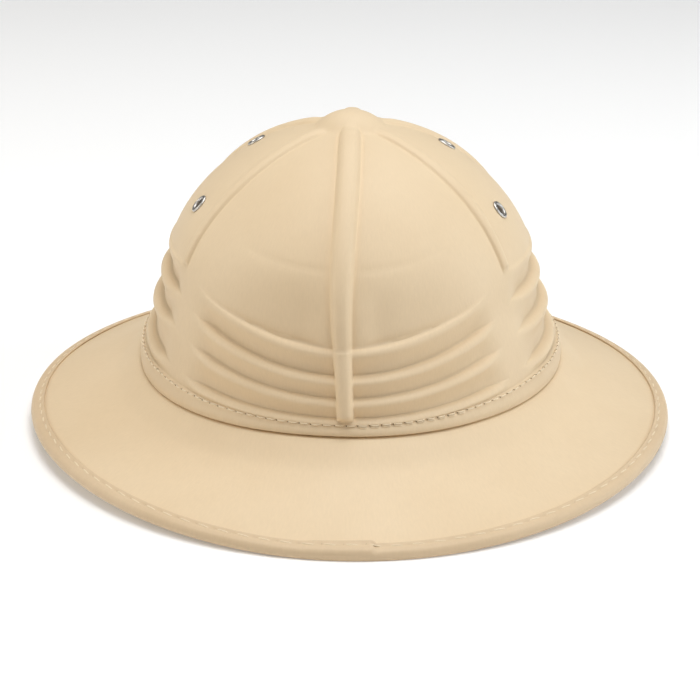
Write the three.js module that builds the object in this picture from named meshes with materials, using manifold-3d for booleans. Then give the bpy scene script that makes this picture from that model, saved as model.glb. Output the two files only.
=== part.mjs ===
// A moulded pith helmet: a ribbed and pleated dome crown sewn over the collar of a sloping oval brim, whose edge
// is bound with a tape, with two metal vent eyelets on each side. Millimetres, +Z up, the front faces -Y, and the
// origin is under the middle of the brim, level with the lowest points of its edge.
import * as THREE from "three";
import { mergeVertices } from "three/addons/utils/BufferGeometryUtils.js";
import Module from "manifold-3d";

// Driving dimensions
const brimWidth = 280;
const brimLength = 328;
const brimDrop = 25.5; // from the crown's foot down to the middle height of the brim's edge
const brimDip = 2.7; // how far the edge is lower at the front and back, and higher at the sides
const brimSag = 2.2; // how far the middle of the brim lies under a straight slope
const brimThickness = 2.2;
const crownWidth = 182;
const crownLength = 214;
const crownHeight = 101.7; // from the crown's foot to the top of the dome
const crownLean = 0.013; // how far the crown leans to its left, for its height
const crownWall = 2.4;
const pleatRise = 51; // from the crown's foot to the top pleat's ledge at the sides
const domeRadius = crownWidth * 0.4473; // half width of the smooth dome at its widest
const domeWidest = crownHeight * 0.296; // its height over the foot
const buttonRadius = 20; // of the round top
const buttonRise = 5;
const frontRibWidth = 9.2;
const frontRibRise = 3.2;
const sideRibWidth = 8.4;
const sideRibRise = 2.3;
const ribStart = 7; // radius, under the button, at which the ribs begin
const pleatLedge = 4; // height over which a pleat's ledge rounds over
const pleatFace = 6; // how far under its ledge a pleat's face meets the wall's slope
const pleatUndercut = 0.5;
const lipBulge = 1.1;
const collarHeight = 10;
const collarWall = 2;
const collarLean = 3.4; // how far the collar's top leans in
const seamGap = 0.3; // clearance between sewn or seated pieces
const tapeWidth = 5.8;
const tapeThickness = 0.8;
const tapeFlat = 1.2; // level strip of its underside, on which the helmet stands
const tapePress = 0.45; // how far its lowest edge is flattened there
const tapeLapLength = 24; // the tape's folded end, which lies over its start
const tapeLapRise = 0.6;
const tapeJointX = 13; // the joint's place, to the right of the front
const eyeletDiameter = 8.4;
const eyeletBore = 4.4;
const eyeletWall = 0.5;
const eyeletRim = 0.8;

// Each pleat's ledge and the seam, as shares of pleatRise: at the front and back, and at the sides
const pleats = [
  { front: 0.647, side: 1.0 },
  { front: 0.437, side: 0.776 },
  { front: 0.269, side: 0.531 },
  { front: 0.12, side: 0.255 },
];
const seamLine = { front: 0.083, side: 0.155 };

// Vent eyelets: degrees round from the front, and height as a share of the dome over its widest level
const eyelets = [
  { name: "lower", azimuth: 75, share: 0.554 },
  { name: "upper", azimuth: 105, share: 0.82 },
];

// Shape exponents and shares
const domeSideCurve = 2.03;
const domeTopCurve = 1.7;
const wallLean = 0.112;
const wallBow = 0.048;
const ribCount = 6;
const pleatSweep = 0.88; // how soon the pleats start to rise from the front towards the sides
const pinchAzimuth = 53; // where the pleats fade between the front and side panels
const pinchHalfFlat = 3;
const pinchFade = 6;
const seamDepth = 0.7;

// Mesh density
const panelColumns = 7;
const buttonReaches = [0.3, 0.55, 0.78, 1.08];
const domeRows = 11;
const insideDomeRows = 7;
const brimColumns = 72;
const eyeletSides = 14;
const rowStep = 0.01; // how far a row lies past the line at which the wall turns

const mix = (a, b, t) => a + (b - a) * t;

// How far out the dome's rows lie, as shares of its half width: a few on the button, then evenly down the side
const domeReaches = [
  ...buttonReaches.map((share) => (share * 0.64 * buttonRadius) / domeRadius),
  ...Array.from({ length: domeRows }, (_, i) => Math.sin(mix(0.25, Math.PI / 2, i / (domeRows - 1)))),
];

const radians = THREE.MathUtils.degToRad;
const clamp01 = (t) => Math.min(1, Math.max(0, t));
const smooth = (t) => clamp01(t) ** 2 * (3 - 2 * clamp01(t));

const halfWidth = crownWidth / 2;
const aspect = crownLength / crownWidth;
const tapeHalfHeight = brimThickness / 2 + seamGap + tapeThickness;
const edgeHeight = brimDip + tapeHalfHeight - tapePress; // middle height of the brim's edge over the floor
const footHeight = edgeHeight + brimDrop;
const panelAngle = 360 / ribCount;

// Degrees from the nearer of the front and the back
function fromEnd(azimuth) {
  const turned = Math.abs(THREE.MathUtils.euclideanModulo(azimuth + 90, 180) - 90);
  return turned;
}

// Height over the foot of a line given by its front and side shares
function lineHeight(line, azimuth) {
  const along = clamp01(fromEnd(azimuth) / panelAngle) ** pleatSweep;
  return pleatRise * mix(line.front, line.side, 1 - Math.cos((along * Math.PI) / 2));
}

function domeAt(height) {
  const rise = clamp01((height - domeWidest) / (crownHeight - domeWidest));
  return domeRadius * Math.max(0, 1 - rise ** domeSideCurve) ** (1 / domeTopCurve);
}

function wallAt(height) {
  const share = height / pleatRise;
  return halfWidth * (1 - wallLean * share - wallBow * share ** 2);
}

const smoothAt = (height) =>
  height > pleatRise ? domeAt(height) : Math.max(domeAt(height), wallAt(height));

// How crisp the pleats are: 0 in the pinched strip between the front and side panels
function pleatCrispness(azimuth) {
  return smooth((Math.abs(fromEnd(azimuth) - pinchAzimuth) - pinchHalfFlat) / pinchFade);
}

// Half width of the pleated wall at a height, without its ribs
function pleatedAt(azimuth, height) {
  let radius = smoothAt(height);
  let above = domeAt(lineHeight(pleats[0], azimuth));
  for (const pleat of pleats) {
    const ledge = lineHeight(pleat, azimuth);
    if (height >= ledge) break;
    const face = wallAt(ledge - pleatFace);
    const down = (ledge - height) / pleatLedge;
    const round = Math.sqrt(1 - (1 - clamp01(down)) ** 2);
    radius = mix(above, face, round) - pleatUndercut * smooth((down - 1) / 1.5);
    above = face - pleatUndercut;
  }
  return mix(smoothAt(height), radius, pleatCrispness(azimuth));
}

// Lip below the seam: a groove at the stitches, then a rounded edge
function lipAt(azimuth, height) {
  const seam = lineHeight(seamLine, azimuth);
  const down = clamp01((seam - height) / seam);
  return halfWidth - seamDepth + (seamDepth + lipBulge) * Math.sin(down * Math.PI * 0.62);
}

// Outside of the pleated crown, where only the front and back ribs run down to the seam
function crownPoint(azimuth, height, rib, offset) {
  const seam = lineHeight(seamLine, azimuth);
  let radius = height > seam ? pleatedAt(azimuth, height) : lipAt(azimuth, height);
  if (isEndRib(rib) && height > seam) {
    const crest = smoothAt(height) + ribLift(rib, offset);
    const tip = smooth((2 * (height - seam)) / ribWidthOf(rib));
    radius = Math.max(radius, mix(lipAt(azimuth, seam), crest, tip));
  }
  return onEllipse(azimuth, radius, height);
}

// Rise of a rib's round back at a distance from its centre line
function ribLift(rib, offset) {
  const across = clamp01((2 * offset) / ribWidthOf(rib));
  return ribRiseOf(rib) * Math.sqrt(1 - across ** 2);
}

function onEllipse(azimuth, radius, height) {
  const angle = radians(azimuth);
  return new THREE.Vector3(radius * Math.sin(angle), -radius * aspect * Math.cos(angle), height);
}

// On the dome a rib stands up along the dome's normal, and the round button covers the middle
function domePoint(azimuth, height, rib, offset) {
  const step = 0.5;
  const radius = domeAt(height);
  const slope = (domeAt(height + step) - domeAt(Math.max(domeWidest, height - step))) / (2 * step);
  const normal = new THREE.Vector2(1, -slope).normalize();
  const foot = height - lineHeight(pleats[0], azimuth);
  const tip = isEndRib(rib) ? 1 : smooth(foot / ribWidthOf(rib));
  const start = smooth((radius - ribStart) / (isEndRib(rib) ? ribStart : 3 * ribStart));
  const lift = start * tip * ribLift(rib, offset);
  const point = onEllipse(azimuth, radius + lift * normal.x, height + lift * normal.y);
  point.z = Math.max(point.z, buttonTop(Math.hypot(point.x, point.y)));
  return point;
}

function buttonTop(reach) {
  const centre = crownHeight + buttonRise - buttonRadius;
  return reach < buttonRadius * 0.8 ? centre + Math.sqrt(buttonRadius ** 2 - reach ** 2) : -Infinity;
}

const isEndRib = (rib) => rib % (ribCount / 2) === 0;
const ribWidthOf = (rib) => (isEndRib(rib) ? frontRibWidth : sideRibWidth);
const ribRiseOf = (rib) => (isEndRib(rib) ? frontRibRise : sideRibRise);

// Columns of one ring: azimuth and distance from the nearest rib, closer together across each rib
function ringColumns(radius) {
  const columns = [];
  for (let rib = 0; rib < ribCount; rib++) {
    const next = (rib + 1) % ribCount;
    const start = footAngle(rib, radius);
    const end = panelAngle - footAngle(next, radius);
    const at = (degrees, owner, offset) =>
      columns.push({ azimuth: rib * panelAngle + degrees, rib: owner, offset });
    at(0, rib, 0);
    at(start * 0.6, rib, (ribWidthOf(rib) / 2) * 0.6);
    for (let i = 0; i <= panelColumns; i++)
      at(mix(start, end, i / panelColumns), rib, Infinity);
    at(mix(panelAngle, end, 0.6), next, (ribWidthOf(next) / 2) * 0.6);
  }
  return columns;
}

// Degrees from a rib's centre to its edge at a half width of the crown
function footAngle(rib, radius) {
  const azimuth = radians(rib * panelAngle);
  const metric = radius * Math.hypot(aspect * Math.sin(azimuth), Math.cos(azimuth));
  return Math.min(0.4 * panelAngle, THREE.MathUtils.radToDeg(ribWidthOf(rib) / 2 / Math.max(metric, 1)));
}

function crownRing(heightAt, pointAt) {
  const sample = heightAt(45);
  return ringColumns(smoothAt(sample)).map(({ azimuth, rib, offset }) =>
    pointAt(azimuth, heightAt(azimuth), rib, offset),
  );
}

// Rings of points and, at each end, an apex: one closed skin
function skin(rings, first, last) {
  const positions = [first, ...rings.flat(), last].flatMap((p) => [p.x, p.y, p.z]);
  const count = rings[0].length;
  const at = (ring, i) => 1 + ring * count + (i % count);
  const end = 1 + rings.length * count;
  const index = [];
  for (let i = 0; i < count; i++) {
    index.push(0, at(0, i), at(0, i + 1));
    for (let ring = 0; ring + 1 < rings.length; ring++) quad(index, at, ring, ring + 1, i);
    index.push(end, at(rings.length - 1, i + 1), at(rings.length - 1, i));
  }
  return geometry(positions, index);
}

// Rings of points joined in a loop: a closed hoop
function hoop(rings) {
  const positions = rings.flat().flatMap((p) => [p.x, p.y, p.z]);
  const count = rings[0].length;
  const at = (ring, i) => ring * count + (i % count);
  const index = [];
  for (let i = 0; i < count; i++)
    rings.forEach((_, ring) => quad(index, at, ring, (ring + 1) % rings.length, i));
  return geometry(positions, index);
}

function quad(index, at, ring, next, i) {
  index.push(at(ring, i), at(next, i), at(next, i + 1));
  index.push(at(ring, i), at(next, i + 1), at(ring, i + 1));
}

function geometry(positions, index) {
  return new THREE.BufferGeometry()
    .setAttribute("position", new THREE.Float32BufferAttribute(positions, 3))
    .setIndex(index);
}

// Boolean cuts
const wasm = await Module();
wasm.setup();

function solidOf(shape) {
  const bare = shape.clone();
  for (const name of ["normal", "uv"]) bare.deleteAttribute(name);
  const merged = mergeVertices(bare, 1e-4);
  return new wasm.Manifold(
    new wasm.Mesh({
      numProp: 3,
      vertProperties: new Float32Array(merged.attributes.position.array),
      triVerts: new Uint32Array(merged.index.array),
    }),
  );
}

function shapeOf(solid) {
  const mesh = solid.getMesh();
  return geometry([...mesh.vertProperties], [...mesh.triVerts]);
}

// Crown: outer rows from the top to the foot, then inner rows back up
function crownShape() {
  const rings = [];
  const top = (azimuth) => lineHeight(pleats[0], azimuth);
  for (const reach of domeReaches) {
    const share = (1 - reach ** domeTopCurve) ** (1 / domeSideCurve);
    rings.push(crownRing((azimuth) => mix(top(azimuth), crownHeight, share), domePoint));
  }
  pleats.forEach((pleat, i) => {
    const lower = pleats[i + 1] ?? seamLine;
    const span = (azimuth) => lineHeight(pleat, azimuth) - lineHeight(lower, azimuth);
    const isLast = i === pleats.length - 1;
    const shares = isLast ? [0.3, 0.7, 1] : [0.08, 0.3, 0.62, 1];
    for (const share of shares)
      rings.push(
        crownRing((azimuth) => lineHeight(pleat, azimuth) - share * span(azimuth), crownPoint),
      );
  });
  for (const share of [0.6, 0.25, 0])
    rings.push(crownRing((azimuth) => share * lineHeight(seamLine, azimuth), crownPoint));
  const inside = (azimuth, height) => onEllipse(azimuth, insideAt(azimuth, height), height);
  rings.push(crownRing(() => 0, inside));
  rings.push(crownRing((azimuth) => lineHeight(seamLine, azimuth), inside));
  for (const pleat of [...pleats].reverse()) {
    const aboveSeam = (azimuth, height) => Math.max(height, lineHeight(seamLine, azimuth) + rowStep);
    rings.push(
      crownRing((azimuth) => aboveSeam(azimuth, lineHeight(pleat, azimuth) - pleatLedge), inside),
    );
    rings.push(crownRing((azimuth) => lineHeight(pleat, azimuth) + rowStep, inside));
  }
  for (let row = 1; row < insideDomeRows; row++) {
    const share = Math.sin((row / insideDomeRows) * (Math.PI / 2));
    rings.push(crownRing((azimuth) => mix(top(azimuth), crownHeight - crownWall, share), inside));
  }
  return skin(
    rings,
    new THREE.Vector3(0, 0, crownHeight + buttonRise),
    new THREE.Vector3(0, 0, crownHeight - crownWall),
  );
}

// Half width of the crown's inside: the outside without its ribs, moved in by the wall
function insideAt(azimuth, height) {
  if (height <= lineHeight(seamLine, azimuth)) return halfWidth - seamDepth - crownWall;
  if (height < lineHeight(pleats[0], azimuth)) return pleatedAt(azimuth, height) - crownWall;
  const rise = clamp01((height - domeWidest) / (crownHeight - crownWall - domeWidest));
  return (domeRadius - crownWall) * Math.max(0, 1 - rise ** domeSideCurve) ** (1 / domeTopCurve);
}

// Azimuths of the brim's columns: a facet, not a corner, lies at the front and at the back
const brimAzimuths = Array.from({ length: brimColumns }, (_, i) => ((i + 0.5) / brimColumns) * 360);

// Brim: an upright collar inside the crown, then a sloping oval skirt
function brimShape() {
  const collar = (height, inset) =>
    brimAzimuths.map((azimuth) => onEllipse(azimuth, collarAt(height) - inset, height));
  const skirt = (share, lower) => brimAzimuths.map((azimuth) => skirtPoint(azimuth, share, lower));
  const outward = [0, 0.12, 0.3, 0.55, 0.8, 1];
  const under = [1, 0.8, 0.55, 0.3, 0.1];
  return hoop([
    collar(collarHeight, 0),
    collar(collarHeight / 2, 0),
    ...outward.map((share) => skirt(share, 0)),
    ...under.map((share) => skirt(share, brimThickness)),
    collar(-brimThickness, collarWall),
    collar(collarHeight / 2, collarWall),
    collar(collarHeight, collarWall),
  ]);
}

const collarAt = (height) =>
  halfWidth - seamDepth - crownWall - seamGap - (collarLean * height) / collarHeight;

// A point of the skirt: share 0 at the collar and 1 at the edge, `lower` mm under the top face
function skirtPoint(azimuth, share, lower) {
  const start = onEllipse(azimuth, collarAt(0), -seamGap);
  const angle = radians(azimuth);
  const edgeX = brimWidth / 2 - tapeThickness - seamGap;
  const edgeY = brimLength / 2 - tapeThickness - seamGap;
  const edge = new THREE.Vector3(edgeX * Math.sin(angle), -edgeY * Math.cos(angle), edgeAt(azimuth));
  const point = start.lerp(edge, share);
  point.z -= brimSag * Math.sin(clamp01(share) * Math.PI) + lower;
  return point;
}

// Height of the brim's top face at its edge, from the crown's foot
const edgeAt = (azimuth) => brimThickness / 2 - brimDrop - brimDip * Math.cos(2 * radians(azimuth));

// Binding: a folded tape round the edge, thicker where its folded end lies over its start
function bindingShape() {
  const slot = brimThickness / 2 + seamGap;
  const outer = slot + tapeThickness;
  const section = [
    { out: -tapeWidth, up: slot },
    { out: -tapeWidth, up: outer, lap: 1 },
    { out: -tapeThickness, up: outer, lap: 1 },
    { out: 0, up: outer * 0.4, lap: 1 },
    { out: 0, up: -outer * 0.4 },
    { out: -tapeThickness, up: -outer },
    { out: -tapeThickness - tapeFlat, up: -outer },
    { out: -tapeWidth, up: -outer },
    { out: -tapeWidth, up: -slot },
    { out: -tapeThickness, up: -slot },
    { out: -tapeThickness, up: slot },
  ];
  const rings = section.map(({ out, up, lap = 0 }) =>
    brimAzimuths.map((azimuth) => {
      const point = skirtPoint(azimuth, 1 + (out + tapeThickness + seamGap) / skirtReach(azimuth), 0);
      point.z += up - brimThickness / 2 + lap * lapLift(point);
      point.z = Math.max(point.z, -footHeight);
      return point;
    }),
  );
  return hoop(rings);
}

// Level distance from the collar to the brim's edge
function skirtReach(azimuth) {
  const span = skirtPoint(azimuth, 1, 0).sub(skirtPoint(azimuth, 0, 0));
  return Math.hypot(span.x, span.y);
}

function lapLift({ x, y }) {
  const along = tapeJointX - x;
  const inLap = y < 0 && along > 0 && along < tapeLapLength;
  return inLap ? tapeLapRise * (1 - along / tapeLapLength) : 0;
}

// An eyelet's frame: a point on the dome and its outward normal
function eyeletSeat(eyelet, side) {
  const azimuth = side * eyelet.azimuth;
  const height = mix(domeWidest, crownHeight, eyelet.share);
  const at = (turn, rise) => onEllipse(azimuth + turn, domeAt(height + rise), height + rise);
  const across = at(0.5, 0).sub(at(-0.5, 0));
  const up = at(0, 0.5).sub(at(0, -0.5));
  return { point: at(0, 0), normal: across.cross(up).normalize() };
}

function eyeletShape() {
  const bore = eyeletBore / 2;
  const barrel = bore + eyeletWall;
  const flange = eyeletDiameter / 2;
  const outside = seamGap;
  const insideFace = -(crownWall + 1.2);
  const profile = [
    [bore, insideFace - eyeletRim],
    [flange * 0.86, insideFace - eyeletRim * 0.5],
    [flange * 0.86, insideFace],
    [barrel, insideFace],
    [barrel, outside],
    [flange, outside],
    [flange, outside + eyeletRim * 0.4],
    [mix(bore, flange, 0.5), outside + eyeletRim],
    [bore, outside + eyeletRim * 0.4],
  ];
  profile.push(profile[0]);
  return new THREE.LatheGeometry(
    profile.map(([radius, along]) => new THREE.Vector2(radius, along)),
    eyeletSides,
  );
}

function eyeletHole() {
  const radius = eyeletBore / 2 + eyeletWall + seamGap;
  return new THREE.CylinderGeometry(radius, radius, 12, eyeletSides);
}

const alongAxis = new THREE.Vector3(0, 1, 0);

function placed(seat) {
  return new THREE.Matrix4()
    .makeRotationFromQuaternion(new THREE.Quaternion().setFromUnitVectors(alongAxis, seat.normal))
    .setPosition(seat.point);
}

// Materials
const cloth = (name, color, roughness) =>
  new THREE.MeshStandardMaterial({ name, color, roughness, metalness: 0 });
const crownCloth = cloth("crown_cloth", 0xe2cca2, 0.82);
const brimCloth = cloth("brim_cloth", 0xe6d1aa, 0.84);
const bindingCloth = cloth("binding_cloth", 0xdec79c, 0.8);
const nickel = new THREE.MeshStandardMaterial({ color: 0xc9c6bf, roughness: 0.28, metalness: 1 });

// Assembly
const sides = [
  { name: "left", sign: -1 },
  { name: "right", sign: 1 },
];
const seats = sides.flatMap(({ name, sign }) =>
  eyelets.map((eyelet) => ({
    name: `eyelet_${name}_${eyelet.name}`,
    matrix: placed(eyeletSeat(eyelet, sign)),
  })),
);

function part(name, shape, material) {
  const mesh = new THREE.Mesh(shape, material);
  mesh.name = name;
  return mesh;
}

const holes = seats.map(({ matrix }) => solidOf(eyeletHole().applyMatrix4(matrix)));
const piercedCrown = shapeOf(holes.reduce((crown, hole) => crown.subtract(hole), solidOf(crownShape())));

const leaned = new THREE.Group();
leaned.matrixAutoUpdate = false;
leaned.matrix.makeShear(0, 0, 0, 0, -crownLean, 0);
leaned.add(part("crown", piercedCrown, crownCloth));
for (const { name, matrix } of seats) {
  const eyelet = part(name, eyeletShape(), nickel);
  eyelet.applyMatrix4(matrix);
  leaned.add(eyelet);
}

const helmet = new THREE.Group();
helmet.position.z = footHeight;
helmet.add(leaned);
helmet.add(part("brim", brimShape(), brimCloth));
helmet.add(part("brim_binding", bindingShape(), bindingCloth));

export default helmet;
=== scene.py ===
# Looks of a moulded, cloth-covered pith helmet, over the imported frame: crown, brim and edge tape, sewn with
# thread, and four vent grommets. Shapes are worked out in millimetres and turned into metres at the end.
import math

import bpy
import numpy as np
from mathutils import Matrix, Vector


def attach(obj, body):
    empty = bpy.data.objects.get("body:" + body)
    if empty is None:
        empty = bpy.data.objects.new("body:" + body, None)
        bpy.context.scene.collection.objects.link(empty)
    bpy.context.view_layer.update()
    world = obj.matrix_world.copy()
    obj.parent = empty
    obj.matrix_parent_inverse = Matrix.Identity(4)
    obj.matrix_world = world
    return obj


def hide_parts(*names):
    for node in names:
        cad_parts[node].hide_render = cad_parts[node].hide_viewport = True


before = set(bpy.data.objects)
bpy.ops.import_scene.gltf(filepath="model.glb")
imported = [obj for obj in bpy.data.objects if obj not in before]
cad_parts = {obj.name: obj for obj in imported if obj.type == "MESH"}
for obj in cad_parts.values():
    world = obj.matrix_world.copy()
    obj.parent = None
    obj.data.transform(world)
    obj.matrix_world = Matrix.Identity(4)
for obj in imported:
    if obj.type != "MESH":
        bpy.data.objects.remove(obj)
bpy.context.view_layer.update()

MM = 0.001

# Named sizes in millimetres, with degrees and shares where the name says azimuth, share, lean or fade
BRIM_WIDTH, BRIM_LENGTH = 280.0, 328.0
BRIM_DROP, BRIM_DIP, BRIM_SAG, BRIM_THICKNESS = 25.5, 2.7, 2.2, 2.2
CROWN_WIDTH, CROWN_LENGTH, CROWN_HEIGHT, CROWN_WALL = 182.0, 214.0, 101.7, 2.4
CROWN_LEAN = 0.013
PLEAT_RISE, PLEAT_LEDGE, PLEAT_FACE, PLEAT_UNDERCUT = 51.0, 2.8, 6.0, 1.5
PLEAT_SWEEP = 0.88
UNDERCUT_START, UNDERCUT_LENGTH = 0.85, 1.9  # in heights of a ledge
DOME_RADIUS, DOME_WIDEST, DOME_SIDE_CURVE, DOME_TOP_CURVE = 81.4, 30.1, 2.03, 1.7
WALL_LEAN, WALL_BOW, WALL_MARGIN, WALL_BLEND = 0.112, 0.048, 3, 0.8
BUTTON_RADIUS, BUTTON_RISE, BUTTON_BLEND, BUTTON_SHARE = 20.0, 5.0, 0.7, 0.8
SEAM_DEPTH, LIP_BULGE, LIP_ROLL = 0.7, 1.1, 0.62
COLLAR_HEIGHT, COLLAR_WALL, COLLAR_LEAN, COLLAR_ROOT, SEAM_GAP = 10.0, 2.0, 3.4, 2.4, 0.3
TAPE_WIDTH, TAPE_THICKNESS, TAPE_PRESS = 5.8, 0.8, 0.45
TAPE_LAP_LENGTH, TAPE_LAP_RISE, TAPE_JOINT_X = 30.0, 0.9, 13.0
LAP_TAPER, LAP_FADE, LAP_WIDER = 0.55, 8, 0.9
PINCH_AZIMUTH, PINCH_HALF_FLAT, PINCH_FADE = 53.0, 3.0, 6.0
PINCH_SIDE_FADE, PINCH_FRONT_FADE = 2.2, 1.5  # in PINCH_FADEs
ROOT_RISE, ROOT_SHARE, ROOT_FADE = 2.2, 0.09, 0.22
BRIM_UNEVEN, BRIM_WAVE, CROWN_UNEVEN, CROWN_WAVE = 0.3, 60, 0.16, 38.0
CROWN_STITCH, TAPE_STITCH = 4.8, 8.9
THREAD_RADIUS, THREAD_LIFT = 0.3, 0.7
TAPE_FOLD, TAPE_GROOVE, TAPE_GROOVE_WIDTH = 1.6, TAPE_WIDTH - 1.75, 0.75
TAPE_CORNER = TAPE_WIDTH - 0.2

# Ribs: widths at the top and at the foot; the ones at the front and the back are the wide ones
END_RIB_WIDTHS, SIDE_RIB_WIDTHS = (9.7, 7.0), (7.8, 5.4)
END_RIB_RISE, SIDE_RIB_RISE = 3.3, 1.6
END_RIB_FLATNESS, SIDE_RIB_FLATNESS, RIB_ROUNDING = 3.2, 2.2, 0.8
RIB_START, RIB_TIP, RIB_FOOT, RIB_FOOT_DEPTH, RIB_BLEND = 7.0, 2.2, 4, 1.5, 0.25
RIB_GROOVE, GROOVE_PLACE, GROOVE_WIDTH = 0.22, 1.12, 0.14
RIB_WIDENING = 0.8

# The fold across the front of the dome, and the hollow under it
FOLD_HEIGHT, FOLD_RISE, FOLD_SPREAD, FOLD_WIDTH, FOLD_DEPTH = 62, 6.5, 45, 1.1, 0.3
HOLLOW_DEPTH, HOLLOW_REACH = 1.8, 22

# The warp that the helmet has taken with use
RIM_RISE, RIM_DROP, CORNER_DROP, CORNER_REACH, RIB_DRIFT = 1.4, 1.9, 3.0, 34, 2.0
DRIFT_HEIGHT, DRIFT_REACH = 52, 80
LOW_CORNER, HIGH_FRONT = (-62, 62), (-45, 55)  # middle and reach, in degrees round from the front
LOW_BACK_RIGHT, LOW_BACK_LEFT = (122, 62), (-122, 62)

# Pleat ledges and the seam as shares of PLEAT_RISE, at the front and back and at the sides
PLEATS = ((0.647, 1.0), (0.437, 0.776), (0.269, 0.531), (0.12, 0.255))
SEAM_LINE = (0.083, 0.155)

# Vent grommets: name, degrees round from the front, share of the dome's height
GROMMETS = (("lower", 75.0, 0.554), ("upper", 105.0, 0.82))
GROMMET_FLANGE, GROMMET_BORE, GROMMET_RIM, GROMMET_EDGE = 4.2, 2.2, 0.9, 0.12
GROMMET_OPEN, GROMMET_WASHER, GROMMET_HOLE = 0.3, 1.2, 0.75
CUTTER_REACH = 9.0

HALF_WIDTH = CROWN_WIDTH / 2
ASPECT = CROWN_LENGTH / CROWN_WIDTH
TAPE_HALF = BRIM_THICKNESS / 2 + SEAM_GAP + TAPE_THICKNESS
FOOT = BRIM_DIP + TAPE_HALF - TAPE_PRESS + BRIM_DROP
RIBS = 6
PANEL = 360 / RIBS


def mix(a, b, t):
    return a + (b - a) * t


def smooth(t):
    t = np.clip(t, 0, 1)
    return t * t * (3 - 2 * t)


def soft_max(a, b, width):
    """The larger of two values, with the corner between them rounded."""
    blend = np.clip(0.5 + (a - b) / (2 * width), 0, 1)
    return mix(b, a, blend) + width * blend * (1 - blend)


def from_end(azimuth):
    return np.abs(np.mod(azimuth + 90, 180) - 90)


def line_height(line, azimuth):
    along = np.clip(from_end(azimuth) / PANEL, 0, 1) ** PLEAT_SWEEP
    return PLEAT_RISE * mix(line[0], line[1], 1 - np.cos(along * math.pi / 2))


def height_between(upper, lower, share, azimuth):
    top = line_height(upper, azimuth)
    return top - share * (top - line_height(lower, azimuth))


def dome_at(height):
    rise = np.clip((height - DOME_WIDEST) / (CROWN_HEIGHT - DOME_WIDEST), 0, 1)
    return DOME_RADIUS * (1 - rise**DOME_SIDE_CURVE) ** (1 / DOME_TOP_CURVE)


def wall_at(height):
    share = height / PLEAT_RISE
    return HALF_WIDTH * (1 - WALL_LEAN * share - WALL_BOW * share**2)


def smooth_at(height):
    wall = np.where(height > PLEAT_RISE + WALL_MARGIN, 0, wall_at(height))
    return soft_max(dome_at(height), wall, WALL_BLEND)


def pleated_at(azimuth, height):
    """The crown's radius with its pleats, which fade out in the pinched strips."""
    radius = smooth_at(height)
    above = dome_at(line_height(PLEATS[0], azimuth))
    for pleat in PLEATS:
        ledge = line_height(pleat, azimuth)
        face = wall_at(ledge - PLEAT_FACE)
        down = (ledge - height) / PLEAT_LEDGE
        round_over = np.sqrt(1 - (1 - np.clip(down, 0, 1)) ** 2)
        lean_in = np.clip((down - UNDERCUT_START) / UNDERCUT_LENGTH, 0, 1)
        stepped = mix(above, face, round_over) - PLEAT_UNDERCUT * lean_in
        radius = np.where(height < ledge, stepped, radius)
        above = face - PLEAT_UNDERCUT
    away = from_end(azimuth) - PINCH_AZIMUTH
    fade = np.where(away > 0, PINCH_SIDE_FADE, PINCH_FRONT_FADE)
    crisp = smooth((np.abs(away) - PINCH_HALF_FLAT) / fade / PINCH_FADE)
    return mix(smooth_at(height), radius, crisp)


def lip_at(azimuth, height):
    seam = line_height(SEAM_LINE, azimuth)
    down = np.clip((seam - height) / seam, 0, 1)
    return HALF_WIDTH - SEAM_DEPTH + (SEAM_DEPTH + LIP_BULGE) * np.sin(down * math.pi * LIP_ROLL)


def on_ellipse(azimuth, radius, height):
    angle = np.radians(azimuth)
    return np.stack(
        np.broadcast_arrays(radius * np.sin(angle), -radius * ASPECT * np.cos(angle), height), axis=-1
    )


def is_end_rib(rib):
    return rib % (RIBS // 2) == 0


def rib_width(rib, height):
    """Ribs narrow towards their feet."""
    upper, foot = END_RIB_WIDTHS if is_end_rib(rib) else SIDE_RIB_WIDTHS
    start = 0 if is_end_rib(rib) else PLEAT_RISE
    return mix(foot, upper, smooth((height - start) / (RIB_WIDENING * (CROWN_HEIGHT - start))))


def rib_rise(rib):
    return END_RIB_RISE if is_end_rib(rib) else SIDE_RIB_RISE


def metric(azimuth, radius):
    """Millimetres of arc for each radian of azimuth."""
    angle = np.radians(azimuth)
    return radius * np.hypot(ASPECT * np.sin(angle), np.cos(angle))


# Columns across half a panel: shares of the rib's half width, then shares of the way to the panel's middle
RIB_SHARES = (0, 0.3, 0.55, 0.75, 0.9, 1.0, 1.12, 1.3)
PANEL_COLUMNS = 22
PANEL_SHARES = tuple(i / PANEL_COLUMNS for i in range(1, PANEL_COLUMNS))
RIB_REACH = 0.42
FAR_FROM_RIB = 1e3


def ring_layout(heights):
    """Azimuths and rib offsets of one ring's columns, for the ring's height at each rib."""
    azimuths, ribs, offsets = [], [], []
    for rib in range(RIBS):
        for side in (1, -1):
            owner = rib if side > 0 else (rib + 1) % RIBS
            height = heights(owner * PANEL)
            half = rib_width(owner, height) / 2
            per_degree = metric(owner * PANEL, max(float(smooth_at(height)), 1)) * math.pi / 180
            reach = min(RIB_SHARES[-1] * half / per_degree, RIB_REACH * PANEL)
            column = [(share / RIB_SHARES[-1] * reach, share * half) for share in RIB_SHARES]
            for share in PANEL_SHARES:
                turn = mix(reach, PANEL / 2, share)
                column.append((turn, RIB_SHARES[-1] * half + turn * per_degree))
            if side > 0:
                column.append((PANEL / 2, FAR_FROM_RIB))
                azimuths += [rib * PANEL + turn for turn, _ in column]
            else:
                column = column[::-1][:-1]
                azimuths += [(rib + 1) * PANEL - turn for turn, _ in column]
            offsets += [offset for _, offset in column]
            ribs += [owner] * len(column)
    return np.array(azimuths), np.array(ribs), np.array(offsets)


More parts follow.
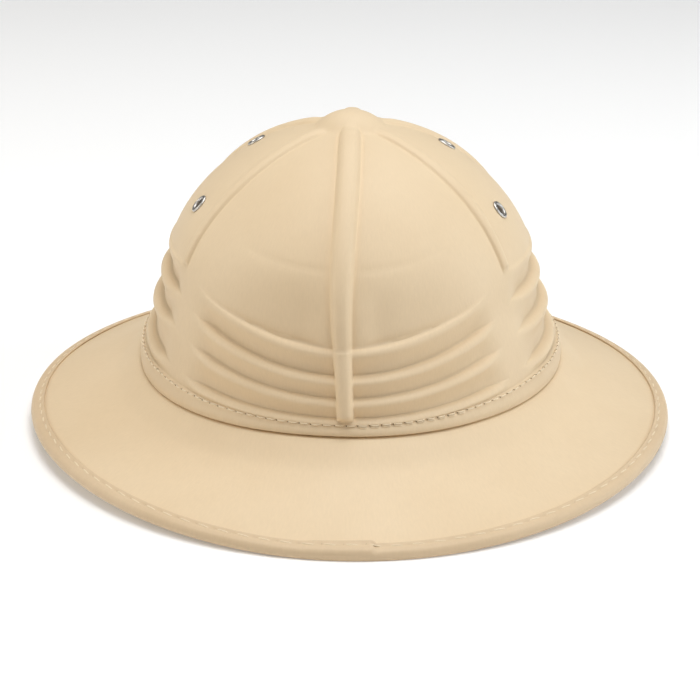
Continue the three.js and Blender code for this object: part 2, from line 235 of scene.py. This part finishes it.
def rib_lift(ribs, offsets, height):
    lift = np.zeros_like(offsets, dtype=float)
    for rib in range(RIBS):
        half = rib_width(rib, height) / 2
        across = np.abs(offsets) / half
        flatness = END_RIB_FLATNESS if is_end_rib(rib) else SIDE_RIB_FLATNESS
        shape = np.where(across < 1, (1 - np.clip(across, 0, 1) ** flatness) ** RIB_ROUNDING, 0)
        groove = RIB_GROOVE * np.exp(-(((across - GROOVE_PLACE) / GROOVE_WIDTH) ** 2))
        lift = np.where(ribs == rib, rib_rise(rib) * shape - groove, lift)
    return lift


def button_top(reach):
    centre = CROWN_HEIGHT + BUTTON_RISE - BUTTON_RADIUS
    cap = centre + np.sqrt(np.maximum(BUTTON_RADIUS**2 - np.minimum(reach, BUTTON_RADIUS) ** 2, 0))
    return np.where(reach < BUTTON_SHARE * BUTTON_RADIUS, cap, 0)


def outer_ring(height_of, on_dome):
    """One ring of the crown's outer surface, on the dome or on the pleated wall and lip under it."""
    azimuth, ribs, offsets = ring_layout(height_of)
    height = np.broadcast_to(height_of(azimuth), azimuth.shape).astype(float)
    lift = rib_lift(ribs, offsets, height)
    end_rib = ribs % (RIBS // 2) == 0
    if on_dome:
        step = 0.4
        below = np.maximum(DOME_WIDEST, height - step)
        above = np.minimum(CROWN_HEIGHT, height + step)
        slope = (dome_at(above) - dome_at(below)) / (above - below)
        length = np.hypot(1, slope)
        tip = np.where(end_rib, 1, smooth((height - line_height(PLEATS[0], azimuth)) / RIB_TIP))
        start = smooth((dome_at(height) - RIB_START) / np.where(end_rib, RIB_START, 2 * RIB_START))
        lift = lift * tip * start
        lift += faint_crease(azimuth, height)
        point = on_ellipse(azimuth, dome_at(height) + lift / length, height - lift * slope / length)
        reach = np.hypot(point[..., 0], point[..., 1])
        point[..., 2] = soft_max(point[..., 2], button_top(reach), BUTTON_BLEND)
        return point, azimuth
    seam = line_height(SEAM_LINE, azimuth)
    panel = np.where(height > seam, pleated_at(azimuth, height), lip_at(azimuth, height))
    crest = smooth_at(height) + lift
    tip = smooth((height - seam) / RIB_FOOT)
    on_rib = end_rib & (lift > 0) & (height > seam)
    crest = np.where(on_rib, mix(HALF_WIDTH - RIB_FOOT_DEPTH, crest, tip), 0)
    panel = soft_max(crest, panel, RIB_BLEND)
    return on_ellipse(azimuth, panel, height), azimuth


def faint_crease(azimuth, height):
    """A shallow fold across the two front panels, over the middle of the dome, and the hollow under it."""
    near = from_end(azimuth)
    line = FOLD_HEIGHT + FOLD_RISE * (near / FOLD_SPREAD) ** 2
    across = np.exp(-(((height - line) / FOLD_WIDTH) ** 2))
    front = np.cos(np.radians(azimuth)) > 0
    faded = smooth((44 - near) / 12) * smooth((near - 3) / 4) * front
    sides = smooth((52 - near) / 30) * smooth((near - 4) / 8)
    below = smooth((line - height) / HOLLOW_REACH) * sides * front
    return -FOLD_DEPTH * across * faded - HOLLOW_DEPTH * below


def inner_radius(azimuth, height):
    seam = line_height(SEAM_LINE, azimuth)
    top = line_height(PLEATS[0], azimuth)
    rise = np.clip((height - DOME_WIDEST) / (CROWN_HEIGHT - CROWN_WALL - DOME_WIDEST), 0, 1)
    dome = (DOME_RADIUS - CROWN_WALL) * (1 - rise**DOME_SIDE_CURVE) ** (1 / DOME_TOP_CURVE)
    pleated = pleated_at(azimuth, height) - CROWN_WALL
    radius = np.where(height < top, pleated, dome)
    return np.where(height <= seam, HALF_WIDTH - SEAM_DEPTH - CROWN_WALL, radius)


def uneven(points, size, seed, reach):
    """Gentle unevenness of moulded cloth: a few broad waves in fixed directions."""
    rng = np.random.default_rng(seed)
    total = np.zeros(points.shape[:-1])
    for _ in range(7):
        direction = rng.normal(size=3)
        direction /= np.linalg.norm(direction)
        wave = reach * rng.uniform(0.6, 1.6)
        total += np.sin(points @ direction * 2 * math.pi / wave + rng.uniform(0, 2 * math.pi))
    return size * total / 7


def leaned(points):
    """Points of the crown, from its foot up, leaned a little to its left."""
    return points - np.stack([CROWN_LEAN * points[..., 2], *np.zeros((2, *points.shape[:-1]))], axis=-1)


def displaced(points, amount):
    """Points moved level outwards from the middle axis."""
    moved = points.copy()
    reach = np.maximum(np.hypot(points[..., 0], points[..., 1]), 1)
    moved[..., 0] += points[..., 0] / reach * amount
    moved[..., 1] += points[..., 1] / reach * amount
    return moved


def bump(turned, middle, reach):
    """1 at an azimuth, falling smoothly to 0 at `reach` degrees to either side."""
    away = np.abs(np.mod(turned - middle + 180, 360) - 180)
    return smooth(1 - away / reach)


def settled(points):
    """The shape that the helmet has taken with use. The crown's left front corner sits a little low, the rim
    of the brim is low beside the back and high at the left of the front, and the front rib bows to the left.
    All pieces move together, and the floor stays."""
    moved = points.copy()
    turned = np.degrees(np.arctan2(points[..., 0], -points[..., 1] / ASPECT))
    out = np.hypot(points[..., 0], points[..., 1] / ASPECT) / HALF_WIDTH
    rim = smooth((out - 1) / 0.5)
    near_foot = smooth((FOOT + CORNER_REACH - points[..., 2]) / CORNER_REACH)
    low_corner = bump(turned, *LOW_CORNER) * near_foot * (1 - rim)
    low_back = bump(turned, *LOW_BACK_RIGHT) + bump(turned, *LOW_BACK_LEFT)
    rim_shift = RIM_RISE * bump(turned, *HIGH_FRONT) - RIM_DROP * low_back
    moved[..., 2] += rim * rim_shift - CORNER_DROP * low_corner
    middle = smooth(1 - np.abs(points[..., 2] - FOOT - DRIFT_HEIGHT) / DRIFT_HEIGHT)
    moved[..., 0] -= RIB_DRIFT * middle * smooth(-points[..., 1] / DRIFT_REACH) * (out < 1.1)
    moved[..., 2] = np.maximum(moved[..., 2], np.minimum(points[..., 2], 0))
    return np.where(out[..., None] < 2, moved, points)


# Meshes from rings of points
def make_piece(name, points, faces, uvs=None):
    mesh = bpy.data.meshes.new(name)
    mesh.from_pydata([tuple(p * MM) for p in settled(np.array(points))], [], faces)
    if uvs is not None:
        layer = mesh.uv_layers.new(name="cloth")
        index = np.empty(len(mesh.loops), dtype=np.int32)
        mesh.loops.foreach_get("vertex_index", index)
        layer.data.foreach_set("uv", uvs[index].ravel())
    mesh.validate()
    mesh.shade_smooth()
    piece = bpy.data.objects.new(name, mesh)
    bpy.context.scene.collection.objects.link(piece)
    return piece


def ring_uvs(rings):
    """Arc length round the foot and length down the surface, in metres."""
    grid = np.array(rings)
    down = np.linalg.norm(np.diff(grid, axis=0), axis=-1).mean(axis=1)
    v = np.concatenate([[0], np.cumsum(down)])
    count = grid.shape[1]
    u = np.arange(count) / count * 2 * math.pi * HALF_WIDTH
    return np.stack(np.meshgrid(u, v), axis=-1).reshape(-1, 2) * MM


def grid_faces(rings, count, first=0, loop=False):
    faces = []
    for ring in range(rings if loop else rings - 1):
        a, b = first + ring * count, first + ((ring + 1) % rings) * count
        faces += [(a + i, b + i, b + (i + 1) % count, a + (i + 1) % count) for i in range(count)]
    return faces


DOME_ROWS, INNER_ROWS = 84, 44
LEDGE_SHARES = (0.015, 0.05, 0.1, 0.17, 0.25, 0.34, 0.44, 0.55, 0.66, 0.77, 0.88, 0.95, 1.0)
LIP_SHARES = (0.985, 0.95, 0.88, 0.78, 0.66, 0.52, 0.38, 0.25, 0.13, 0.05, 0)


def crown_piece():
    rings = []
    for row in range(1, DOME_ROWS + 1):
        share = math.cos(row / DOME_ROWS * math.pi / 2)
        rings.append(outer_ring(lambda a: mix(line_height(PLEATS[0], a), CROWN_HEIGHT, share), True)[0])
    for pleat, lower in zip(PLEATS, (*PLEATS[1:], SEAM_LINE)):
        for share in LEDGE_SHARES:
            rings.append(outer_ring(lambda a: height_between(pleat, lower, share, a), False)[0])
    for share in LIP_SHARES:
        rings.append(outer_ring(lambda a: share * line_height(SEAM_LINE, a), False)[0])
    outer = [displaced(ring, uneven(ring, CROWN_UNEVEN, 11, CROWN_WAVE)) for ring in rings]
    for share in np.linspace(0, 1, INNER_ROWS, endpoint=False):
        height_of = lambda a: math.sin(share * math.pi / 2) * (CROWN_HEIGHT - CROWN_WALL)
        azimuth, _, _ = ring_layout(height_of)
        height = np.full(azimuth.shape, height_of(0))
        outer.append(on_ellipse(azimuth, inner_radius(azimuth, height), height))
    count = len(outer[0])
    top_point = np.array([0, 0, CROWN_HEIGHT + BUTTON_RISE])
    inside_point = np.array([0, 0, CROWN_HEIGHT - CROWN_WALL])
    points = leaned(np.concatenate([*outer, [top_point], [inside_point]]))
    points[:, 2] += FOOT
    faces = grid_faces(len(outer), count)
    last = (len(outer) - 1) * count
    faces += [(len(points) - 2, i, (i + 1) % count) for i in range(count)]
    faces += [(len(points) - 1, last + (i + 1) % count, last + i) for i in range(count)]
    uvs = np.concatenate([ring_uvs(outer), [[0, 0], [0, 0]]])
    return make_piece("crown_shell", points, faces, uvs)


# Brim
def collar_at(height):
    return HALF_WIDTH - SEAM_DEPTH - CROWN_WALL - SEAM_GAP - COLLAR_LEAN * height / COLLAR_HEIGHT


def edge_height(azimuth):
    return BRIM_THICKNESS / 2 - BRIM_DROP - BRIM_DIP * np.cos(2 * np.radians(azimuth))


def skirt_point(azimuth, share, lower):
    """A point of the brim's upper face, or `lower` under it, some share of the way from the collar out."""
    start = on_ellipse(azimuth, collar_at(0), -SEAM_GAP)
    angle = np.radians(azimuth)
    edge = TAPE_THICKNESS + SEAM_GAP
    across = (BRIM_WIDTH / 2 - edge) * np.sin(angle)
    ahead = -(BRIM_LENGTH / 2 - edge) * np.cos(angle)
    end = np.stack(np.broadcast_arrays(across, ahead, edge_height(azimuth)), axis=-1)
    share = np.asarray(share)[..., None] * np.ones_like(start)
    point = mix(start, end, share)
    point[..., 2] -= BRIM_SAG * np.sin(np.clip(share[..., 0], 0, 1) * math.pi) + lower
    return point


BRIM_COLUMNS = 320


def brim_piece():
    azimuths = np.arange(BRIM_COLUMNS) / BRIM_COLUMNS * 360
    rings = [on_ellipse(azimuths, collar_at(h), h) for h in np.linspace(COLLAR_HEIGHT, 0.8, 6)]
    for share in np.linspace(0, 1, 44):
        ring = skirt_point(azimuths, np.full(azimuths.shape, share), 0)
        waves = uneven(ring, BRIM_UNEVEN, 23, BRIM_WAVE)
        ring[..., 2] += waves * smooth(share * 6) * smooth((1 - share) * 12)
        root = min(share / ROOT_SHARE, 1) * (1 - smooth((share - ROOT_SHARE) / ROOT_FADE))
        ring[..., 2] += ROOT_RISE * root
        rings.append(ring)
    for share in np.linspace(1, 0.04, 26):
        rings.append(skirt_point(azimuths, np.full(azimuths.shape, share), BRIM_THICKNESS))
    inside = np.linspace(-COLLAR_ROOT, COLLAR_HEIGHT, 7)
    rings += [on_ellipse(azimuths, collar_at(height) - COLLAR_WALL, height) for height in inside]
    points = np.concatenate(rings)
    points[:, 2] += FOOT
    faces = grid_faces(len(rings), len(azimuths), loop=True)
    return make_piece("brim_shell", points, faces, ring_uvs(rings))


# Edge tape: stations at even steps along the edge, so that the stitches are evenly spaced
def edge_stations(count):
    azimuth = np.linspace(0, 360, 4001)
    ring = skirt_point(azimuth, np.ones(azimuth.shape), 0)
    length = np.concatenate([[0], np.cumsum(np.linalg.norm(np.diff(ring, axis=0), axis=1))])
    along = np.arange(count) / count * length[-1]
    return np.interp(along, length, azimuth), along, length[-1]


def skirt_reach(azimuths):
    """Level distance from the collar to the edge."""
    return np.linalg.norm((skirt_point(azimuths, 1.0, 0) - skirt_point(azimuths, 0.0, 0))[..., :2], axis=-1)


def tape_piece():
    stitches = tape_stitch_count()
    azimuths, along, length = edge_stations(stitches * 8)
    reach = skirt_reach(azimuths)
    slot = BRIM_THICKNESS / 2 + SEAM_GAP * 0.5
    outer = slot + TAPE_THICKNESS
    section = tape_section(slot, outer)
    rings = []
    for out, up, dent in section:
        wider = LAP_WIDER * lap_lift(skirt_point(azimuths, 1.0, 0)) if up > 0 and out < -4 else 0
        ring = skirt_point(azimuths, 1 + (out - wider + TAPE_THICKNESS + SEAM_GAP) / reach, 0)
        phase = np.cos(along / length * stitches * 2 * math.pi)
        pucker = dent * (0.22 + 0.3 * smooth((phase - 0.2) / 0.8))
        upward = 1 if up > 0 else 0.3
        lap = lap_lift(ring) * smooth((up + 1.4) / 1.6)
        ring[..., 2] += up - BRIM_THICKNESS / 2 + lap - pucker * upward * (1 if up > 0 else -1)
        ring[..., 2] = np.maximum(ring[..., 2], -FOOT)
        rings.append(ring)
    points = np.concatenate(rings)
    points[:, 2] += FOOT
    faces = grid_faces(len(rings), len(azimuths), loop=True)
    return make_piece("edge_tape", points, faces, ring_uvs(rings))


def tape_section(slot, outer):
    """Cross-section of the folded tape: distance out, height from the brim's middle, depth of stitch dent."""
    section = [(-TAPE_WIDTH, slot, 0), (-TAPE_WIDTH - 0.05, slot + 0.45, 0), (-TAPE_CORNER, outer, 0)]
    for i in range(1, 11):
        out = mix(-TAPE_CORNER, -TAPE_FOLD, i / 10)
        dent = math.exp(-(((out + TAPE_GROOVE) / TAPE_GROOVE_WIDTH) ** 2))
        section.append((out, outer + 0.12 * math.sin(i / 10 * math.pi), dent))
    for i in range(1, 12):
        turn = math.pi / 2 - i / 12 * math.pi
        section.append((-TAPE_FOLD + TAPE_FOLD * math.cos(turn), outer * math.sin(turn), 0))
    for i in range(7):
        out = mix(-TAPE_FOLD, -TAPE_CORNER, i / 6)
        section.append((out, -outer, 0.6 * math.exp(-(((out + TAPE_GROOVE) / TAPE_GROOVE_WIDTH) ** 2))))
    section += [(-TAPE_WIDTH, -slot, 0), (-TAPE_THICKNESS, -slot, 0), (-TAPE_THICKNESS, slot, 0)]
    return section


def lap_lift(points):
    """How far the tape's end stands up where it lies over its start."""
    along = TAPE_JOINT_X - points[..., 0]
    taper = 1 - LAP_TAPER * smooth(along / TAPE_LAP_LENGTH)
    shape = TAPE_LAP_RISE * taper * smooth((TAPE_LAP_LENGTH - along) / LAP_FADE)
    return np.where((points[..., 1] < 0) & (along > 0) & (along < TAPE_LAP_LENGTH), shape, 0)


def tape_stitch_count():
    return round(edge_stations(10)[2] / TAPE_STITCH)


# Thread
def stitch_mesh(ends, radius, sink):
    """One short thread lying from one needle hole to the next: a tube that dives at both ends."""
    rings, sides = 9, 8
    points, faces = [], []
    for start, end, normal in ends:
        base = len(points)
        along = end - start
        side = np.cross(normal, along / np.linalg.norm(along))
        for i in range(rings):
            t = i / (rings - 1)
            lift = radius * 0.55 - sink * (2 * t - 1) ** 6
            swell = radius * (0.75 + 0.25 * math.sin(t * math.pi))
            centre = start + along * t + normal * lift
            for k in range(sides):
                turn = k / sides * 2 * math.pi
                points.append(centre + side * math.cos(turn) * swell + normal * math.sin(turn) * swell)
        faces += grid_faces(rings, sides, base)
        faces.append(tuple(base + k for k in range(sides)))
        faces.append(tuple(base + (rings - 1) * sides + k for k in reversed(range(sides))))
    return points, faces


def crown_seam_point(azimuth):
    height = line_height(SEAM_LINE, azimuth)
    return leaned(on_ellipse(azimuth, HALF_WIDTH - SEAM_DEPTH + THREAD_LIFT, height)) + [0, 0, FOOT]


def outward(point):
    normal = np.array([point[0], point[1] / ASPECT**2, 0.0])
    return normal / np.linalg.norm(normal)


def crown_stitches():
    azimuth = np.linspace(0, 360, 4001)
    path = crown_seam_point(azimuth)
    length = np.concatenate([[0], np.cumsum(np.linalg.norm(np.diff(path, axis=0), axis=1))])
    count = round(length[-1] / CROWN_STITCH)
    rng = np.random.default_rng(5)
    ends, holes = [], []
    for i in range(count):
        near = (i + 0.1 + rng.uniform(-0.03, 0.03)) / count
        far = (i + 0.9 + rng.uniform(-0.03, 0.03)) / count
        a, b = (float(np.interp(s * length[-1], length, azimuth)) for s in (near, far))
        start, end = crown_seam_point(a), crown_seam_point(b)
        start[2] += rng.uniform(-0.12, 0.12)
        end[2] += rng.uniform(-0.12, 0.12)
        ends.append((start, end, outward(start)))
        holes.append((start, outward(start)))
        if 2 < (start[0] / HALF_WIDTH) * 45 < 24 and start[1] < 0:
            lower = np.array([0.0, 0.0, -0.75])
            ends.append((start + lower * 0.9, end + lower, outward(start)))
    points, faces = stitch_mesh(ends, THREAD_RADIUS, 0.75)
    thread = make_piece("crown_thread", points, faces)
    return thread, needle_holes("crown_needle_holes_painted_shade", holes, 0.24)


def tape_stitches():
    count = tape_stitch_count()
    azimuths, _, _ = edge_stations(count * 20)
    reach = skirt_reach(azimuths)
    top = BRIM_THICKNESS / 2 + SEAM_GAP * 0.5 + TAPE_THICKNESS - 0.3
    path = {}
    for slant in (-0.28, 0.28):
        share = 1 + (-TAPE_GROOVE + slant + TAPE_THICKNESS + SEAM_GAP) / reach
        ring = skirt_point(azimuths, share, 0)
        ring[..., 2] += top - BRIM_THICKNESS / 2 + lap_lift(ring) + FOOT
        path[slant] = ring
    ends, holes = [], []
    for i in range(count):
        start = path[-0.28][(i * 20 + 3) % len(azimuths)]
        end = path[0.28][(i * 20 + 17) % len(azimuths)]
        normal = np.array([start[0] * 0.45 / 140, start[1] * 0.4 / 164, 1.0])
        normal /= np.linalg.norm(normal)
        ends.append((start, end, normal))
        holes.append((start - normal * 0.1, normal))
    points, faces = stitch_mesh(ends, THREAD_RADIUS * 1.05, 0.8)
    return make_piece("tape_thread", points, faces), needle_holes("tape_needle_holes_painted_shade", holes, 0.4)


def needle_holes(name, places, radius):
    """Small hollows at the ends of the stitches, where the needle went through; they get a flat dark brown
    material, which is painted shade for the inside of the holes.
    """
    points, faces, sides = [], [], 8
    for place, normal in places:
        base = len(points)
        side = np.cross(normal, [0.0, 0.0, 1.0] if abs(normal[2]) < 0.9 else [0.0, 1.0, 0.0])
        side /= np.linalg.norm(side)
        other = np.cross(normal, side)
        for k in range(sides):
            turn = k / sides * 2 * math.pi
            points.append(place + normal * 0.16 + (side * math.cos(turn) + other * math.sin(turn)) * radius)
        points.append(place - normal * 0.25)
        faces += [(base + k, base + (k + 1) % sides, base + sides) for k in range(sides)]
    return make_piece(name, points, faces)


# Grommets
def grommet_seat(azimuth, share, sign):
    turn = sign * azimuth
    height = mix(DOME_WIDEST, CROWN_HEIGHT, share)

    def at(more_turn, more_height):
        return on_ellipse(turn + more_turn, dome_at(height + more_height), height + more_height)

    normal = np.cross(at(0.5, 0) - at(-0.5, 0), at(0, 0.5) - at(0, -0.5))
    normal /= np.linalg.norm(normal)
    point = leaned(at(0, 0)) + [0, 0, FOOT]
    rotation = Vector((0, 0, 1)).rotation_difference(Vector(normal)).to_matrix().to_4x4()
    return Matrix.Translation(Vector(point)) @ rotation


def grommet_profile():
    """Turned section, radius and height over the cloth: a rolled flange, the bore and a washer inside."""
    flange, bore, rim = GROMMET_FLANGE, GROMMET_BORE + GROMMET_OPEN, GROMMET_RIM
    inside = -(CROWN_WALL + GROMMET_WASHER)
    profile = [(flange * 0.97, 0.0)]
    for i in range(13):
        turn = math.pi * i / 12
        middle, half = (flange + bore) / 2, (flange - bore) / 2
        rolled = GROMMET_EDGE + (rim - GROMMET_EDGE) * math.sin(turn) ** 0.8
        profile.append((middle + half * math.cos(turn), rolled))
    profile += [(bore, inside - 0.3), (bore + 0.4, inside - 0.75)]
    profile += [(flange * 0.86, inside - 0.4), (flange * 0.86, inside)]
    profile += [(bore + 0.5, inside), (bore + 0.5, 0.0)]
    return profile


def turned_ring(seat, radius, height, sides):
    ring = []
    for k in range(sides):
        turn = k / sides * 2 * math.pi
        ring.append(np.array(seat @ Vector((radius * math.cos(turn), radius * math.sin(turn), height))))
    return ring


def grommet_piece(name, seat):
    profile, sides = grommet_profile(), 56
    points = [point for radius, height in profile for point in turned_ring(seat, radius, height, sides)]
    faces = [tuple(reversed(face)) for face in grid_faces(len(profile), sides, loop=True)]
    return make_piece(name, points, faces)


def pierce(piece, seats):
    """Cut the grommets' holes through the crown."""
    points, faces, sides, radius = [], [], 28, GROMMET_BORE + GROMMET_HOLE
    for seat in seats:
        base = len(points)
        for height in (-CUTTER_REACH, CUTTER_REACH):
            points += turned_ring(seat, radius, height, sides)
        faces += [tuple(reversed(face)) for face in grid_faces(2, sides, base)]
        faces.append(tuple(base + k for k in reversed(range(sides))))
        faces.append(tuple(base + sides + k for k in range(sides)))
    cutter = make_piece("hole_cutter", points, faces)
    cut = piece.modifiers.new("holes", "BOOLEAN")
    cut.object = cutter
    cut.solver = "EXACT"
    graph = bpy.context.evaluated_depsgraph_get()
    cut_mesh = bpy.data.meshes.new_from_object(piece.evaluated_get(graph))
    piece.modifiers.clear()
    piece.data = cut_mesh
    piece.data.shade_smooth()
    bpy.data.objects.remove(cutter)


# Materials
class Nodes:
    """A small helper to write node materials in a line or two each."""

    def __init__(self, name):
        self.material = bpy.data.materials.new(name)
        self.material.use_nodes = True
        self.tree = self.material.node_tree
        self.shader = self.tree.nodes["Principled BSDF"]

    def add(self, kind, **values):
        node = self.tree.nodes.new("ShaderNode" + kind)
        for key, value in values.items():
            setattr(node, key, value)
        return node

    def link(self, source, target):
        self.tree.links.new(source, target)

    def set(self, node, **values):
        for key, value in values.items():
            node.inputs[key.replace("_", " ")].default_value = value
        return node


def cloth_material(name, color, shade, uv=True):
    n = Nodes(name)
    where = n.add("TexCoord")
    place = where.outputs["UV"] if uv else where.outputs["Object"]
    mottle = n.set(n.add("TexNoise"), Scale=26.0, Detail=4.0, Roughness=0.55)
    n.link(where.outputs["Object"], mottle.inputs["Vector"])
    stretch = n.add("Mapping")
    stretch.inputs["Scale"].default_value = (1500, 260, 1500) if uv else (1200, 1200, 260)
    n.link(place, stretch.inputs["Vector"])
    grain = n.set(n.add("TexNoise"), Scale=1.0, Detail=3.0, Roughness=0.6)
    n.link(stretch.outputs["Vector"], grain.inputs["Vector"])
    fuzz = n.set(n.add("TexNoise"), Scale=900.0, Detail=3.0, Roughness=0.65)
    n.link(where.outputs["Object"], fuzz.inputs["Vector"])
    base = n.add("Mix", data_type="RGBA")
    base.inputs[6].default_value = (*shade, 1)
    base.inputs[7].default_value = (*color, 1)
    tone = n.add("MapRange")
    n.set(tone, From_Min=0.3, From_Max=0.7, To_Min=0.35, To_Max=1.0)
    n.link(mottle.outputs["Fac"], tone.inputs["Value"])
    n.link(tone.outputs["Result"], base.inputs[0])
    speckle = n.add("Mix", data_type="RGBA", blend_type="MULTIPLY")
    speckle.inputs[0].default_value = 0.10
    n.link(base.outputs[2], speckle.inputs[6])
    n.link(grain.outputs["Fac"], speckle.inputs[7])
    n.link(speckle.outputs[2], n.shader.inputs["Base Color"])
    height = n.add("Math", operation="ADD")
    n.link(grain.outputs["Fac"], height.inputs[0])
    n.link(fuzz.outputs["Fac"], height.inputs[1])
    bump = n.set(n.add("Bump"), Strength=0.18, Distance=0.00022)
    n.link(height.outputs[0], bump.inputs["Height"])
    n.link(bump.outputs["Normal"], n.shader.inputs["Normal"])
    n.set(n.shader, Roughness=0.6, Sheen_Weight=0.10, Sheen_Roughness=0.5, IOR=1.45)
    n.shader.inputs["Specular IOR Level"].default_value = 0.5
    n.shader.inputs["Sheen Tint"].default_value = (1.0, 0.95, 0.86, 1)
    return n.material


def thread_material():
    n = Nodes("sewing_thread")
    where = n.add("TexCoord")
    twist = n.set(n.add("TexWave", bands_direction="DIAGONAL"), Scale=900.0, Distortion=1.0)
    n.link(where.outputs["Object"], twist.inputs["Vector"])
    ramp = n.add("Mix", data_type="RGBA")
    ramp.inputs[6].default_value = (0.74, 0.60, 0.41, 1)
    ramp.inputs[7].default_value = (0.88, 0.76, 0.57, 1)
    n.link(twist.outputs["Fac"], ramp.inputs[0])
    n.link(ramp.outputs[2], n.shader.inputs["Base Color"])
    bump = n.set(n.add("Bump"), Strength=0.4, Distance=0.00008)
    n.link(twist.outputs["Fac"], bump.inputs["Height"])
    n.link(bump.outputs["Normal"], n.shader.inputs["Normal"])
    n.set(n.shader, Roughness=0.6, Sheen_Weight=0.15)
    return n.material


# Painted shade: a flat dark brown, far darker than the cloth, stands in for the shade inside the needle
# holes.
def hole_shade_material():
    n = Nodes("needle_hole")
    n.set(n.shader, Roughness=0.95)
    n.shader.inputs["Base Color"].default_value = (0.20, 0.13, 0.07, 1)
    return n.material


def metal_material():
    n = Nodes("bright_nickel")
    where = n.add("TexCoord")
    wear = n.set(n.add("TexNoise"), Scale=420.0, Detail=3.0)
    n.link(where.outputs["Object"], wear.inputs["Vector"])
    rough = n.add("MapRange")
    n.set(rough, From_Min=0.35, From_Max=0.7, To_Min=0.34, To_Max=0.48)
    n.link(wear.outputs["Fac"], rough.inputs["Value"])
    n.link(rough.outputs["Result"], n.shader.inputs["Roughness"])
    n.set(n.shader, Metallic=1.0)
    n.shader.inputs["Base Color"].default_value = (0.62, 0.60, 0.57, 1)
    return n.material


def floor_material():
    n = Nodes("pale_floor")
    n.set(n.shader, Roughness=0.9, Emission_Strength=0.16)
    n.shader.inputs["Emission Color"].default_value = (1, 1, 1, 1)
    n.shader.inputs["Base Color"].default_value = (0.86, 0.86, 0.86, 1)
    return n.material


def finish_piece(piece, material, slot, *nodes):
    piece.data.materials.clear()
    piece.data.materials.append(material)
    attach(piece, "root")
    if nodes:
        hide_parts(*nodes)


CROWN_COLOR, CROWN_SHADE = (0.80, 0.635, 0.425), (0.76, 0.59, 0.38)
BRIM_COLOR, BRIM_SHADE = (0.80, 0.635, 0.425), (0.76, 0.59, 0.38)
TAPE_COLOR, TAPE_SHADE = (0.72, 0.555, 0.365), (0.66, 0.495, 0.31)

crown = crown_piece()
seats = {
    f"{side}_{name}": grommet_seat(azimuth, share, sign)
    for side, sign in (("left", -1), ("right", 1))
    for name, azimuth, share in GROMMETS
}
pierce(crown, seats.values())
finish_piece(crown, cloth_material("crown_cloth_fine", CROWN_COLOR, CROWN_SHADE), "crown_cloth", "crown")
finish_piece(brim_piece(), cloth_material("brim_cloth_fine", BRIM_COLOR, BRIM_SHADE), "brim_cloth", "brim")
finish_piece(
    tape_piece(), cloth_material("tape_cloth_fine", TAPE_COLOR, TAPE_SHADE), "binding_cloth", "brim_binding"
)
# dark is the painted shade material for the needle holes
thread, dark = thread_material(), hole_shade_material()
for sewn, holes, slot in ((*crown_stitches(), "crown_cloth"), (*tape_stitches(), "binding_cloth")):
    finish_piece(sewn, thread, slot)
    finish_piece(holes, dark, slot)
nickel = metal_material()
for place, seat in seats.items():
    finish_piece(grommet_piece(f"grommet_{place}", seat), nickel, "eyelet_metal", f"eyelet_{place}")

# Stage: a flat pale floor, soft lights and a plain world
FLOOR_SIDE, FLOOR_FRONT, FLOOR_BACK = 6000, 4000, 9000
floor = make_piece(
    "studio_floor",
    [
        np.array([x, y, 0.0])
        for x, y in (
            (-FLOOR_SIDE, -FLOOR_FRONT),
            (FLOOR_SIDE, -FLOOR_FRONT),
            (FLOOR_SIDE, FLOOR_BACK),
            (-FLOOR_SIDE, FLOOR_BACK),
        )
    ],
    [(0, 1, 2, 3)],
)
floor.data.materials.append(floor_material())


def area_light(name, location, target, size, power, color=(1, 1, 1)):
    data = bpy.data.lights.new(name, "AREA")
    data.shape = "RECTANGLE"
    data.size, data.size_y = size
    data.energy = power
    data.color = color
    light = bpy.data.objects.new(name, data)
    light.location = location
    light.rotation_euler = (Vector(target) - Vector(location)).to_track_quat("-Z", "Y").to_euler()
    bpy.context.scene.collection.objects.link(light)


MIDDLE = (0.0, 0.0, 0.06)
area_light("top_light", (0.1, 0.15, 1.5), MIDDLE, (1.2, 1.0), 17.2)
area_light("front_top_light", (0.1, -0.8, 1.3), MIDDLE, (1.0, 0.6), 3.4)
area_light("left_light", (-1.4, -0.1, 0.7), MIDDLE, (0.8, 1.0), 8.6, (1.0, 0.96, 0.88))
area_light("right_light", (1.4, -0.1, 0.7), MIDDLE, (0.8, 1.0), 10.4, (0.93, 0.97, 1.0))
area_light("front_light", (0.0, -1.6, 0.5), MIDDLE, (0.8, 0.6), 2.2, (1.0, 0.82, 0.6))

world = bpy.data.worlds.new("studio_world")
world.use_nodes = True
world.node_tree.nodes["Background"].inputs["Color"].default_value = (1, 1, 1, 1)
world.node_tree.nodes["Background"].inputs["Strength"].default_value = 0.05
bpy.context.scene.world = world
bpy.context.scene.view_settings.view_transform = "Standard"

# Camera: 1.2 m from the middle of the brim, 21 degrees up, turned and rolled a little as in the photograph
DISTANCE, ELEVATION, TURN, ROLL = 1.2, 21.0, 0.95, 0.85
AIM_DROP, LENS, SENSOR, SHIFT_UP = 25.4, 139.1, 36.0, 0.0707
aim = Vector((0, 0, (FOOT - AIM_DROP) * MM))
elevation, turn = math.radians(ELEVATION), math.radians(TURN)
offset = Vector(
    (math.cos(elevation) * math.sin(turn), -math.cos(elevation) * math.cos(turn), math.sin(elevation))
)
camera_data = bpy.data.cameras.new("photo_camera")
camera_data.lens = LENS
camera_data.sensor_width = SENSOR
camera_data.shift_y = SHIFT_UP
camera = bpy.data.objects.new("photo_camera", camera_data)
look = (-offset).to_track_quat("-Z", "Y").to_matrix().to_4x4()
roll = Matrix.Rotation(math.radians(ROLL), 4, "Z")
camera.matrix_world = Matrix.Translation(aim + offset * DISTANCE) @ look @ roll
bpy.context.scene.collection.objects.link(camera)
bpy.context.scene.camera = camera
